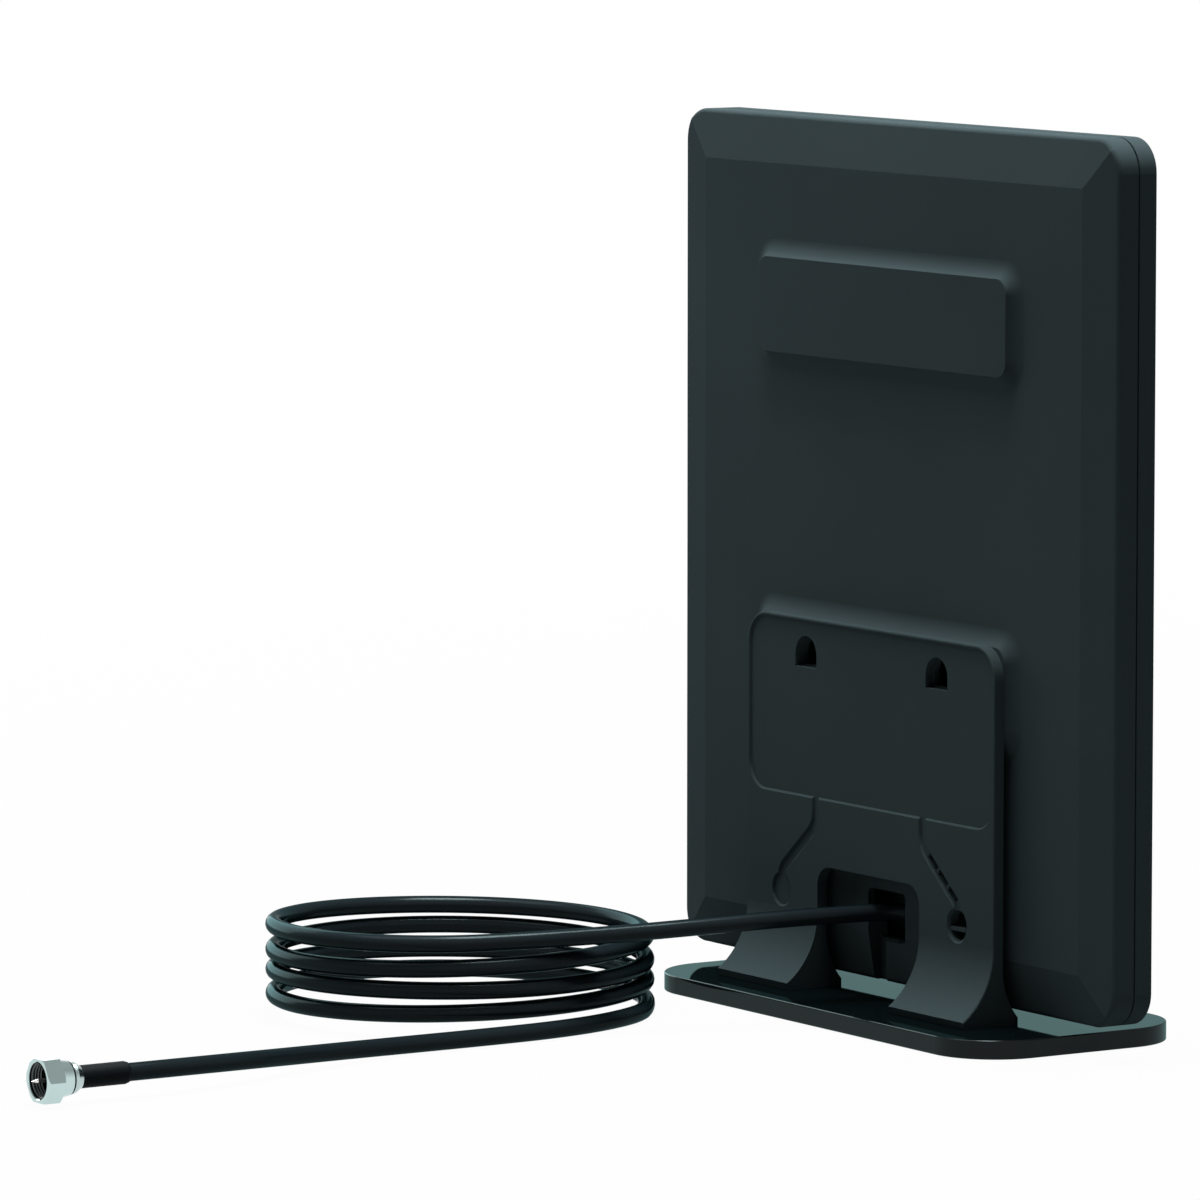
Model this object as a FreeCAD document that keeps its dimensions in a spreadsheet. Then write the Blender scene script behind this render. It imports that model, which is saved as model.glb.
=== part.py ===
import FreeCAD, Part
import math
import os
from types import SimpleNamespace

import Sketcher

# Indoor TV antenna: a flat two-shell panel on a bracket with two flared feet and a
# glossy base plate, with a coiled coaxial lead that ends in a screw-on F connector.
# Frame: +Z up, the panel's front faces -Y, the origin is at the bottom centre of the base.
# Millimetres throughout.

Vector = FreeCAD.Vector
Rotation = FreeCAD.Rotation
Placement = FreeCAD.Placement
doc = FreeCAD.newDocument("indoor_tv_antenna")

# Driving dimensions, one cell each
sizes = {
    # base plate and its rubber pads
    "base_length": 158.4,
    "base_depth": 69.0,
    "base_thickness": 4.95,
    "base_corner": 18.0,
    "base_edge": 0.4,
    "rubber_diameter": 11.0,
    "rubber_height": 1.4,
    "rubber_proud": 0.15,
    "rubber_inset": 15.0,
    # panel outline and thickness
    "panel_width": 199.8,
    "panel_height": 227.0,
    "panel_corner": 9.0,
    "panel_lift": 3.65,
    "rear_face": 8.1,
    "rear_depth": 8.6,
    "border_run": 13.0,
    "border_drop": 2.2,
    "border_edge": 1.3,
    "front_depth": 5.4,
    "front_edge": 0.6,
    "shell_wall": 2.0,
    "seam_groove": 0.5,
    "seam_groove_depth": 0.6,
    "lip_height": 1.8,
    "lip_thickness": 1.0,
    "lip_gap": 0.15,
    # the two raised pads of the rear cover
    "pad_width": 114.4,
    "pad_height": 25.3,
    "pad_corner": 4.0,
    "pad_raise": 2.7,
    "pad_slope_run": 1.75,
    "pad_blend": 5.2,
    "upper_pad_drop": 50.35,
    "lower_pad_height": 90.4,
    # cable outlet and its channel
    "outlet_width": 17.2,
    "outlet_height": 13.5,
    "outlet_corner": 1.4,
    "outlet_offset": 0.5,
    "outlet_bottom": 20.0,
    "channel_top_width": 8.1,
    "channel_foot_width": 4.8,
    "channel_depth": 4.2,
    # bracket plate
    "plate_thickness": 3.0,
    "plate_width": 115.0,
    "plate_top": 103.4,
    "plate_corner": 8.5,
    "recess_margin": 1.2,
    "recess_bottom": 56.0,
    "recess_depth": 0.6,
    "recess_corner": 7.0,
    "recess_chamfer": 0.5,
    "plate_edge": 0.45,
    "window_width": 10.0,
    "window_height": 8.4,
    "window_spacing": 60.8,
    "window_bottom": 90.1,
    "window_wall": 1.5,
    "window_ledge": 0.4,
    "window_margin": 3.0,
    "groove_spacing": 49.8,
    "groove_width": 2.2,
    "groove_start": 51.8,
    "groove_bend": 7.0,
    "groove_run": 15.8,
    "groove_end_bend": 4.0,
    "eye_width": 8.0,
    "eye_height": 8.4,
    "eye_rib": 1.0,
    "dash_width": 1.5,
    "dash_length": 4.9,
    "dash_pitch": 5.9,
    "dash_first": 2.45,
    # bracket opening and feet
    "opening_width": 47.6,
    "opening_top": 37.9,
    "opening_corner": 5.5,
    "foot_block": 1.9,
    "foot_undercut": 0.6,
    "foot_reach_back": 9.6,
    "foot_rise_back": 18.0,
    "foot_reach_front": 4.8,
    "foot_rise_front": 13.0,
    # screws that hold the bracket to the panel and to the base
    "boss_diameter": 7.0,
    "boss_height": 2.0,
    "fit_gap": 0.15,
    "screw_shank": 2.5,
    "screw_pilot": 2.5,
    "screw_head": 5.0,
    "screw_head_height": 1.6,
    "inner_boss_spacing": 28.0,
    "outer_boss_spacing": 94.0,
    "pad_screw_web": 1.4,
    "pad_screw_length": 4.6,
    "base_screw_inner": 64.0,
    "base_screw_outer": 98.0,
    "base_screw_back": 14.6,
    "base_screw_length": 9.0,
    "counterbore": 2.2,
    # antenna board, balun and cable clamp inside the panel
    "board_side_margin": 13.2,
    "board_top_margin": 9.6,
    "board_bottom": 45.0,
    "board_thickness": 1.6,
    "board_front_space": 8.1,
    "standoff_diameter": 7.0,
    "standoff_side_inset": 11.0,
    "standoff_end_inset": 14.0,
    "board_screw_length": 5.0,
    "balun_width": 30.0,
    "balun_height": 22.0,
    "balun_thickness": 1.2,
    "balun_start": 36.0,
    "can_width": 16.0,
    "can_height": 12.0,
    "can_depth": 5.9,
    "can_wall": 0.4,
    "core_width": 7.0,
    "core_height": 5.0,
    "core_depth": 3.4,
    "core_bore": 1.2,
    "strap_width": 4.0,
    "clamp_length": 22.0,
    "clamp_width": 7.0,
    "clamp_thickness": 0.8,
    "clamp_place": 24.0,
    "clamp_screw_spacing": 15.0,
    "clamp_screw_length": 4.4,
    # coaxial cable
    "cable_diameter": 4.65,
    "cable_height": 28.0,
    "cable_depth": 3.5,
    "coil_radius": 49.25,
    "coil_height": 27.0,
    "coil_center_x": 69.3,
    "coil_center_y": 96.8,
    # screw-on connector
    "connector_x": -8.1,
    "connector_z": 6.4,
    "sleeve_start": 242.0,
    "sleeve_length": 13.9,
    "sleeve_diameter": 5.8,
    "sleeve_taper": 0.9,
    "sleeve_taper_depth": 0.3,
    "sleeve_gap": 0.05,
    "collar_length": 3.05,
    "collar_diameter": 8.1,
    "collar_taper": 1.7,
    "collar_rear": 6.2,
    "neck_diameter": 6.2,
    "neck_play": 0.05,
    "end_play": 0.2,
    "nut_flats": 11.0,
    "nut_length": 8.2,
    "nut_round": 3.3,
    "nut_round_rear": 8.8,
    "nut_round_front": 9.9,
    "nut_lip": 1.2,
    "nut_chamber": 7.8,
    "nut_bore": 8.9,
    "nut_chamfer": 0.35,
    "nut_mouth_chamfer": 0.4,
    "post_flange": 7.4,
    "post_flange_length": 1.0,
    "pin_diameter": 1.2,
    "pin_tip": 1.8,
    "pin_proud": 1.8,
}

sheet = doc.addObject("Spreadsheet::Sheet", "dims")
for row, (alias, number) in enumerate(sizes.items(), start=1):
    sheet.set(f"A{row}", alias)
    sheet.set(f"B{row}", str(number))
    sheet.setAlias(f"B{row}", alias)
doc.recompute()


class Size:
    # A length with its number and the sheet formula that it came from

    def __init__(self, text, value):
        self.text = text
        self.value = value

    def __add__(self, other):
        other = as_size(other)
        return Size(f"({self.text} + {other.text})", self.value + other.value)

    def __sub__(self, other):
        other = as_size(other)
        return Size(f"({self.text} - {other.text})", self.value - other.value)

    def __mul__(self, other):
        other = as_size(other)
        return Size(f"({self.text} * {other.text})", self.value * other.value)

    def __truediv__(self, other):
        other = as_size(other)
        return Size(f"({self.text} / {other.text})", self.value / other.value)

    def __neg__(self):
        return Size(f"(0 - {self.text})", -self.value)

    __radd__ = __add__
    __rmul__ = __mul__


def as_size(item):
    if isinstance(item, Size):
        return item
    return Size(f"{float(item):.9f}", float(item))


d = SimpleNamespace(**{name: Size(f"dims.{name}", float(sheet.get(name))) for name in sizes})

# Planes and places that several pieces share
base_top = d.rubber_proud + d.base_thickness
panel_bottom = base_top + d.panel_lift
panel_top = panel_bottom + d.panel_height
panel_middle = panel_bottom + d.panel_height / 2
seam = d.rear_face - d.rear_depth
border_plane = d.rear_face - d.border_drop
panel_front = seam - d.front_depth
floor_plane = d.rear_face - d.shell_wall
edge_floor_plane = border_plane - d.shell_wall
pad_plane = d.rear_face + d.pad_raise
plate_back = pad_plane + d.plate_thickness
recess_plane = plate_back - d.recess_depth
foot_back = plate_back + d.foot_reach_back
foot_front = pad_plane - d.foot_reach_front
foot_top = base_top + d.foot_block
board_back = d.rear_face - d.board_front_space
outlet_middle = d.outlet_bottom + d.outlet_height / 2
boss_columns = [-d.outer_boss_spacing / 2, -d.inner_boss_spacing / 2,
                d.inner_boss_spacing / 2, d.outer_boss_spacing / 2]
base_screw_columns = [-d.base_screw_outer / 2, -d.base_screw_inner / 2,
                      d.base_screw_inner / 2, d.base_screw_outer / 2]
board_width = d.panel_width - d.board_side_margin * 2
board_height = panel_top - d.board_top_margin - d.board_bottom
board_middle = d.board_bottom + board_height / 2
upper_pad_height = panel_top - d.upper_pad_drop
standoffs = [((board_width / 2 - d.standoff_side_inset) * side,
              board_middle + (board_height / 2 - d.standoff_end_inset) * level)
             for side in (-1, 1) for level in (-1, 0, 1)]
clamp_screws = [(-d.clamp_place, d.cable_height + d.clamp_screw_spacing / 2 * side) for side in (-1, 1)]
cable_radius = d.cable_diameter / 2
nut_corner = d.nut_flats / math.sqrt(3)
groove_lean = math.radians(50)
lean_across = math.sin(groove_lean)
lean_down = math.cos(groove_lean)


def bind(item, path, size):
    item.setExpression(path, as_size(size).text)


def new_body(label):
    body = doc.addObject("PartDesign::Body", label)
    body.Label = label
    return body


def plane_of(body, role):
    return [item for item in body.Origin.OriginFeatures if item.Role == role][0]


def arc_between(start, end, radius, turn):
    # Arc of under half a turn; turn is 1 for counter-clockwise and -1 for clockwise
    chord = end - start
    half = chord.Length / 2
    rise = math.sqrt(max(radius * radius - half * half, 0.0))
    side = Vector(-chord.y, chord.x, 0).normalize() * rise * turn
    center = (start + end) / 2 + side
    first, last = (start, end) if turn > 0 else (end, start)
    begin = math.atan2(first.y - center.y, first.x - center.x)
    finish = math.atan2(last.y - center.y, last.x - center.x)
    if finish < begin:
        finish += 2 * math.pi
    circle = Part.Circle(center, Vector(0, 0, 1), radius)
    return Part.ArcOfCircle(circle, begin, finish)


def fix_point(sketch, geometry, place, x, y):
    # Hold a sketch point at two bound distances from the sketch origin
    for kind, axis, size in (("DistanceX", -2, x), ("DistanceY", -1, y)):
        size = as_size(size)
        if abs(size.value) < 1e-7:
            sketch.addConstraint(Sketcher.Constraint("PointOnObject", geometry, place, axis))
            continue
        if size.value > 0:
            link = Sketcher.Constraint(kind, -1, 1, geometry, place, size.value)
            text = size.text
        else:
            link = Sketcher.Constraint(kind, geometry, place, -1, 1, -size.value)
            text = f"0 - {size.text}"
        number = sketch.addConstraint(link)
        sketch.setExpression(f"Constraints[{number}]", text)


def add_loop(sketch, corners):
    # corners: (x, y) starts a straight edge, (x, y, radius, turn) starts an arc to the next corner
    points = [Vector(as_size(c[0]).value, as_size(c[1]).value, 0) for c in corners]
    edges = []
    for index, corner in enumerate(corners):
        start = points[index]
        end = points[(index + 1) % len(points)]
        if len(corner) == 2:
            edges.append((sketch.addGeometry(Part.LineSegment(start, end), False), 1, 2))
            continue
        radius = as_size(corner[2])
        arc = sketch.addGeometry(arc_between(start, end, radius.value, corner[3]), False)
        edges.append((arc, 1, 2) if corner[3] > 0 else (arc, 2, 1))
    for index, edge in enumerate(edges):
        after = edges[(index + 1) % len(edges)]
        sketch.addConstraint(Sketcher.Constraint("Coincident", edge[0], edge[2], after[0], after[1]))
    for edge, corner in zip(edges, corners):
        fix_point(sketch, edge[0], edge[1], corner[0], corner[1])
        if len(corner) == 4:
            radius = as_size(corner[2])
            number = sketch.addConstraint(Sketcher.Constraint("Radius", edge[0], radius.value))
            sketch.setExpression(f"Constraints[{number}]", radius.text)


def add_circle(sketch, x, y, radius):
    x = as_size(x)
    y = as_size(y)
    radius = as_size(radius)
    circle = Part.Circle(Vector(x.value, y.value, 0), Vector(0, 0, 1), radius.value)
    geometry = sketch.addGeometry(circle, False)
    fix_point(sketch, geometry, 3, x, y)
    number = sketch.addConstraint(Sketcher.Constraint("Radius", geometry, radius.value))
    sketch.setExpression(f"Constraints[{number}]", radius.text)


def new_sketch(body, role, height, loops=(), circles=()):
    # height is measured along the plane's normal: +Z on XY, -Y on XZ, +X on YZ
    sketch = body.newObject("Sketcher::SketchObject", f"{body.Label}_sketch")
    sketch.AttachmentSupport = (plane_of(body, role), [""])
    sketch.MapMode = "FlatFace"
    bind(sketch, "AttachmentOffset.Base.z", height)
    for loop in loops:
        add_loop(sketch, loop)
    for circle in circles:
        add_circle(sketch, *circle)
    return sketch


def rectangle(x, y, width, height):
    left = x - width / 2
    right = x + width / 2
    low = y - height / 2
    high = y + height / 2
    return [(left, low), (right, low), (right, high), (left, high)]


def rounded_rectangle(x, y, width, height, radius):
    left = x - width / 2
    right = x + width / 2
    low = y - height / 2
    high = y + height / 2
    return [(left + radius, low), (right - radius, low, radius, 1),
            (right, low + radius), (right, high - radius, radius, 1),
            (right - radius, high), (left + radius, high, radius, 1),
            (left, high - radius), (left, low + radius, radius, 1)]


def extrude(body, kind, sketch, length, backward=False):
    # Pad follows the sketch normal and Pocket goes against it, unless backward; the volume has to change
    before = body.Shape.Volume if body.Tip else 0.0
    feature = body.newObject(f"PartDesign::{kind}", f"{body.Label}_{kind.lower()}")
    feature.Profile = sketch
    feature.Reversed = backward
    bind(feature, "Length", length)
    doc.recompute()
    change = body.Shape.Volume - before
    if (kind == "Pad" and change <= 0) or (kind == "Pocket" and change >= 0):
        raise RuntimeError(f"{feature.Name} of {body.Label} changed nothing")
    return feature


def revolve(body, kind, sketch):
    feature = body.newObject(f"PartDesign::{kind}", f"{body.Label}_{kind.lower()}")
    feature.Profile = sketch
    feature.ReferenceAxis = (sketch, ["V_Axis"])
    feature.Angle = 360
    doc.recompute()
    return feature


def loft(body, first, second):
    feature = body.newObject("PartDesign::AdditiveLoft", f"{body.Label}_loft")
    feature.Profile = first
    feature.Sections = [second]
    feature.Ruled = True
    doc.recompute()
    return feature


def soften(body, kind, size_name, radius, test):
    # Fillet or Chamfer on every edge of the body that passes the test
    base = body.Tip
    names = [f"Edge{i}" for i, edge in enumerate(base.Shape.Edges, start=1) if test(edge)]
    feature = body.newObject(f"PartDesign::{kind}", f"{body.Label}_{kind.lower()}")
    feature.Base = (base, names)
    bind(feature, size_name, radius)
    doc.recompute()
    return feature


def near(value, size, margin=0.01):
    return abs(value - as_size(size).value) < margin


def lies_at(edge, axis, size):
    box = edge.BoundBox
    low = getattr(box, f"{axis}Min")
    high = getattr(box, f"{axis}Max")
    return near(low, size) and near(high, size)


def primitive(kind, name, place, rotation=None, **lengths):
    # A Part primitive with bound sizes and a bound place
    item = doc.addObject(f"Part::{kind}", name)
    if rotation:
        item.Placement = Placement(Vector(0, 0, 0), rotation)
    for key, size in lengths.items():
        bind(item, key, size)
    for axis, size in zip("xyz", place):
        bind(item, f"Placement.Base.{axis}", size)
    return item


along_back = Rotation(Vector(0, 0, 1), Vector(0, 1, 0))
along_x = Rotation(Vector(0, 0, 1), Vector(1, 0, 0))


def fuse(name, pieces):
    item = doc.addObject("Part::MultiFuse", name)
    item.Shapes = pieces
    return item


def group(label, pieces):
    item = doc.addObject("Part::Compound", label)
    item.Links = pieces
    item.Label = label
    return item


def screw(name, seat, rotation, axis, length):
    # Pan-head screw: the shank starts at its seat and runs along the axis, the head stands behind it
    behind = list(seat)
    behind[axis] = seat[axis] - d.screw_head_height
    shank = primitive("Cylinder", f"{name}_shank", seat, rotation,
                      Radius=d.screw_shank / 2, Height=length)
    cap = primitive("Cylinder", f"{name}_head", behind, rotation,
                    Radius=d.screw_head / 2, Height=d.screw_head_height)
    return fuse(name, [shank, cap])


# Base plate: rounded slab with soft edges, rubber seats and screw holes from below
def make_base_plate():
    body = new_body("base_plate")
    outline = rounded_rectangle(as_size(0), as_size(0), d.base_length, d.base_depth, d.base_corner)
    extrude(body, "Pad", new_sketch(body, "XY_Plane", d.rubber_proud, [outline]), d.base_thickness)
    soften(body, "Fillet", "Radius", d.base_edge,
           lambda edge: lies_at(edge, "Z", base_top) or lies_at(edge, "Z", d.rubber_proud))
    seats = [(x, y, d.rubber_diameter / 2 + d.fit_gap) for x, y in rubber_places()]
    extrude(body, "Pocket", new_sketch(body, "XY_Plane", d.rubber_proud, circles=seats),
            d.rubber_height - d.rubber_proud, backward=True)
    heads = [(x, d.base_screw_back, d.screw_head / 2 + d.fit_gap) for x in base_screw_columns]
    extrude(body, "Pocket", new_sketch(body, "XY_Plane", d.rubber_proud, circles=heads),
            d.counterbore, backward=True)
    holes = [(x, d.base_screw_back, d.screw_shank / 2 + d.fit_gap) for x in base_screw_columns]
    extrude(body, "Pocket", new_sketch(body, "XY_Plane", d.rubber_proud, circles=holes),
            d.base_thickness, backward=True)
    return body


def rubber_places():
    across = d.base_length / 2 - d.rubber_inset
    along = d.base_depth / 2 - d.rubber_inset
    return [(across * i, along * j) for i in (-1, 1) for j in (-1, 1)]


def make_rubber_feet():
    discs = []
    for number, (x, y) in enumerate(rubber_places(), start=1):
        discs.append(primitive("Cylinder", f"rubber_disc_{number}", (x, y, as_size(0)),
                               Radius=d.rubber_diameter / 2, Height=d.rubber_height))
    return group("rubber_feet", discs)


# Bracket: one moulding, plate above and two flared feet below, cut open between them
def foot_profile():
    back_radius = (d.foot_reach_back * d.foot_reach_back + d.foot_rise_back * d.foot_rise_back) \
        / (d.foot_reach_back * 2)
    front_radius = (d.foot_reach_front * d.foot_reach_front + d.foot_rise_front * d.foot_rise_front) \
        / (d.foot_reach_front * 2)
    return [(foot_front, base_top), (foot_back - d.foot_undercut, base_top),
            (foot_back, foot_top, back_radius, -1), (plate_back, foot_top + d.foot_rise_back),
            (plate_back, d.plate_top), (pad_plane, d.plate_top),
            (pad_plane, foot_top + d.foot_rise_front, front_radius, -1), (foot_front, foot_top)]


def groove_outline(side):
    # Thin S-shaped groove from the recess down to its eye, at a constant width
    half = d.groove_width / 2
    upper = d.groove_bend
    lower = d.groove_end_bend
    start_x = d.groove_spacing / 2
    turn_x, turn_z = groove_turn()
    back_x = turn_x + d.groove_run * lean_across
    back_z = turn_z - d.groove_run * lean_down
    end_x, end_z = groove_end()
    over = d.recess_bottom + d.recess_margin
    inset_x = half * lean_down
    inset_z = half * lean_across
    outer = [(start_x + half, over), (start_x + half, d.groove_start, upper - half, side),
             (turn_x + inset_x, turn_z + inset_z), (back_x + inset_x, back_z + inset_z, lower + half, -side),
             (end_x + half, end_z), (end_x + half, end_z - half)]
    inner = [(end_x - half, end_z - half), (end_x - half, end_z, lower - half, side),
             (back_x - inset_x, back_z - inset_z), (turn_x - inset_x, turn_z - inset_z, upper + half, -side),
             (start_x - half, d.groove_start), (start_x - half, over)]
    return [(corner[0] * side,) + corner[1:] for corner in outer + inner]


def groove_turn():
    # Where the upper bend ends and the slanted run starts, on the +X side
    return (d.groove_spacing / 2 + d.groove_bend * (1 - lean_down),
            d.groove_start - d.groove_bend * lean_across)


def groove_end():
    # Where the lower bend ends, straight above the eye
    x, z = groove_turn()
    return (x + d.groove_run * lean_across + d.groove_end_bend * (1 - lean_down),
            z - d.groove_run * lean_down - d.groove_end_bend * lean_across)


def eye_column():
    return groove_end()[0]


def eye_middle():
    return groove_end()[1] - d.eye_height / 2 + d.groove_width / 4


def eye_outline(side, shrink):
    # Obround eye at the end of a groove, its ends in two quarter arcs each
    x = eye_column() * side
    z = eye_middle()
    radius = d.eye_width / 2 - shrink
    rise = d.eye_height / 2 - d.eye_width / 2
    return [(x + radius, z - rise), (x + radius, z + rise, radius, 1), (x, z + rise + radius, radius, 1),
            (x - radius, z + rise), (x - radius, z - rise, radius, 1), (x, z - rise - radius, radius, 1)]


def dash_outlines():
    # Slots pierced through the groove on the -X side, along its slanted run
    outlines = []
    start_x, start_z = groove_turn()
    for number in range(3):
        first = d.dash_first - d.dash_length / 2 + d.dash_pitch * number
        last = first + d.dash_length
        half = d.dash_width / 2
        corners = [(first, half), (last, half), (last, -half), (first, -half)]
        outlines.append([((start_x + run * lean_across + off * lean_down) * -1,
                          start_z - run * lean_down + off * lean_across) for run, off in corners])
    return outlines


def window_outline(side, ledge):
    # Arch-headed window with a flat sill, smaller all round by the ledge
    x = d.window_spacing / 2 * side
    radius = d.window_width / 2 - ledge
    spring = d.window_bottom + d.window_height - d.window_width / 2
    sill = d.window_bottom + ledge
    return [(x - radius, sill), (x + radius, sill), (x + radius, spring, radius, 1),
            (x, spring + radius, radius, 1), (x - radius, spring)]


def make_stand_bracket():
    body = new_body("stand_bracket")
    half = d.plate_width / 2
    extrude(body, "Pad", new_sketch(body, "YZ_Plane", -half, [foot_profile()]), d.plate_width)
    soften(body, "Fillet", "Radius", d.plate_corner,
           lambda edge: near(edge.BoundBox.ZMin, d.plate_top) and near(edge.BoundBox.XLength, 0))
    rounded = d.plate_top.value - d.plate_corner.value / 2
    soften(body, "Fillet", "Radius", d.plate_edge,
           lambda edge: lies_at(edge, "Y", plate_back) and edge.BoundBox.ZMax > rounded)
    width = d.opening_width / 2
    low = base_top - d.foot_block
    corner = d.opening_corner
    opening = [(-width, low), (width, low), (width, d.opening_top - corner, corner, 1),
               (width - corner, d.opening_top), (corner - width, d.opening_top, corner, 1),
               (-width, d.opening_top - corner)]
    extrude(body, "Pocket", new_sketch(body, "XZ_Plane", -(foot_back + d.foot_block), [opening]),
            foot_back - foot_front + d.foot_block * 2, backward=True)
    recess_width = d.plate_width - d.recess_margin * 2
    recess_height = d.plate_top - d.recess_margin - d.recess_bottom
    recess = rounded_rectangle(as_size(0), d.recess_bottom + recess_height / 2,
                               recess_width, recess_height, d.recess_corner)
    extrude(body, "Pocket", new_sketch(body, "XZ_Plane", -plate_back, [recess]), d.recess_depth,
            backward=True)
    for side in (-1, 1):
        extrude(body, "Pocket", new_sketch(body, "XZ_Plane", -plate_back, [groove_outline(side)]),
                d.recess_depth, backward=True)
        extrude(body, "Pocket", new_sketch(body, "XZ_Plane", -plate_back, [eye_outline(side, 0.0)]),
                d.recess_depth, backward=True)
    soften(body, "Chamfer", "Size", d.recess_chamfer, on_recess)
    windows = [window_outline(side, 0.0) for side in (-1, 1)]
    extrude(body, "Pocket", new_sketch(body, "XZ_Plane", -plate_back, windows), d.plate_thickness * 2,
            backward=True)
    extrude(body, "Pocket", new_sketch(body, "XZ_Plane", -plate_back, [eye_outline(-1, d.recess_depth / 2)]),
            d.plate_thickness * 2, backward=True)
    extrude(body, "Pocket", new_sketch(body, "XZ_Plane", -plate_back, dash_outlines()),
            d.plate_thickness * 2, backward=True)
    rib = rectangle(-eye_column(), eye_middle() - d.eye_rib, d.eye_width, d.eye_rib)
    extrude(body, "Pad", new_sketch(body, "XZ_Plane", -recess_plane, [rib]), d.plate_thickness / 2)
    bosses = [(x, d.lower_pad_height, d.boss_diameter / 2) for x in boss_columns]
    extrude(body, "Pad", new_sketch(body, "XZ_Plane", -pad_plane, circles=bosses), d.boss_height)
    pilots = [(x, d.lower_pad_height, d.screw_pilot / 2) for x in boss_columns]
    extrude(body, "Pocket", new_sketch(body, "XZ_Plane", -(pad_plane - d.boss_height), circles=pilots),
            d.pad_screw_length - d.pad_screw_web)
    holes = [(x, d.base_screw_back, d.screw_pilot / 2) for x in base_screw_columns]
    extrude(body, "Pocket", new_sketch(body, "XY_Plane", base_top, circles=holes),
            d.base_screw_length, backward=True)
    return body


def on_recess(edge):
    # Upper edge of the recess, its grooves and their eyes
    box = edge.BoundBox
    beside = max(box.XMax, -box.XMin) < d.plate_width.value / 2 - d.recess_margin.value + 0.01
    below = box.ZMax < d.plate_top.value - d.recess_margin.value + 0.01
    above_foot = box.ZMin > foot_top.value + d.foot_rise_back.value + 0.01
    within = max(box.XMax, -box.XMin) < d.opening_width.value / 2 + 0.01
    opening = within and box.ZMax < d.opening_top.value + 0.01
    return lies_at(edge, "Y", plate_back) and beside and below and above_foot and not opening


# Rear cover: chamfered border, two raised pads, cable outlet and channel, bosses inside
def add_raised_pad(body, height):
    wide = d.pad_slope_run * 2
    foot = rounded_rectangle(as_size(0), height, d.pad_width + wide, d.pad_height + wide,
                             d.pad_corner + d.pad_slope_run)
    face = rounded_rectangle(as_size(0), height, d.pad_width, d.pad_height, d.pad_corner)
    loft(body, new_sketch(body, "XZ_Plane", -d.rear_face, [foot]),
         new_sketch(body, "XZ_Plane", -pad_plane, [face]))
    reach = d.pad_height.value / 2 + d.pad_slope_run.value * 2
    soften(body, "Fillet", "Radius", d.pad_blend,
           lambda edge: lies_at(edge, "Y", d.rear_face) and abs(edge.CenterOfMass.z - height.value) < reach)


def make_rear_cover():
    body = new_body("rear_cover")
    middle = panel_middle
    sharp = rectangle(as_size(0), middle, d.panel_width, d.panel_height)
    extrude(body, "Pad", new_sketch(body, "XZ_Plane", -seam, [sharp]), border_plane - seam, backward=True)
    inner_width = d.panel_width - d.border_run * 2
    inner_height = d.panel_height - d.border_run * 2
    face = rectangle(as_size(0), middle, inner_width, inner_height)
    loft(body, new_sketch(body, "XZ_Plane", -border_plane, [sharp]),
         new_sketch(body, "XZ_Plane", -d.rear_face, [face]))
    around = rectangle(as_size(0), middle, d.panel_width + d.border_run, d.panel_height + d.border_run)
    outline = rounded_rectangle(as_size(0), middle, d.panel_width, d.panel_height, d.panel_corner)
    extrude(body, "Pocket", new_sketch(body, "XZ_Plane", -pad_plane, [around, outline]),
            d.rear_depth + d.pad_raise * 2, backward=True)
    reach = d.panel_corner.value / 2
    soften(body, "Fillet", "Radius", d.border_edge, lambda edge: on_border(edge, reach))
    for height in (upper_pad_height, d.lower_pad_height):
        add_raised_pad(body, height)
    cavity = rounded_rectangle(as_size(0), middle, d.panel_width - d.shell_wall * 2,
                               d.panel_height - d.shell_wall * 2, d.panel_corner - d.shell_wall)
    extrude(body, "Pocket", new_sketch(body, "XZ_Plane", -seam, [cavity]), edge_floor_plane - seam)
    extrude(body, "Pocket", new_sketch(body, "XZ_Plane", -edge_floor_plane, [face]),
            floor_plane - edge_floor_plane)
    hollow = rectangle(as_size(0), upper_pad_height, d.pad_width - d.shell_wall * 4,
                       d.pad_height - d.shell_wall * 4)
    extrude(body, "Pocket", new_sketch(body, "XZ_Plane", -floor_plane, [hollow]), d.pad_raise)
    groove = d.seam_groove_depth
    ledge = rounded_rectangle(as_size(0), middle, d.panel_width - groove * 2, d.panel_height - groove * 2,
                              d.panel_corner - groove)
    extrude(body, "Pocket", new_sketch(body, "XZ_Plane", -seam, [around, ledge]), d.seam_groove)
    add_outlet(body)
    add_inner_bosses(body)
    add_windows(body)
    sockets = [(x, d.lower_pad_height, d.boss_diameter / 2 + d.fit_gap) for x in boss_columns]
    extrude(body, "Pocket", new_sketch(body, "XZ_Plane", -pad_plane, circles=sockets),
            d.boss_height + d.fit_gap, backward=True)
    holes = [(x, d.lower_pad_height, d.screw_shank / 2 + d.fit_gap) for x in boss_columns]
    extrude(body, "Pocket", new_sketch(body, "XZ_Plane", -floor_plane, circles=holes),
            d.pad_raise + d.shell_wall)
    heads = [(x, d.lower_pad_height, d.screw_head / 2 + d.fit_gap) for x in boss_columns]
    extrude(body, "Pocket", new_sketch(body, "XZ_Plane", -floor_plane, circles=heads),
            pad_screw_seat() - floor_plane)
    return body


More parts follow.
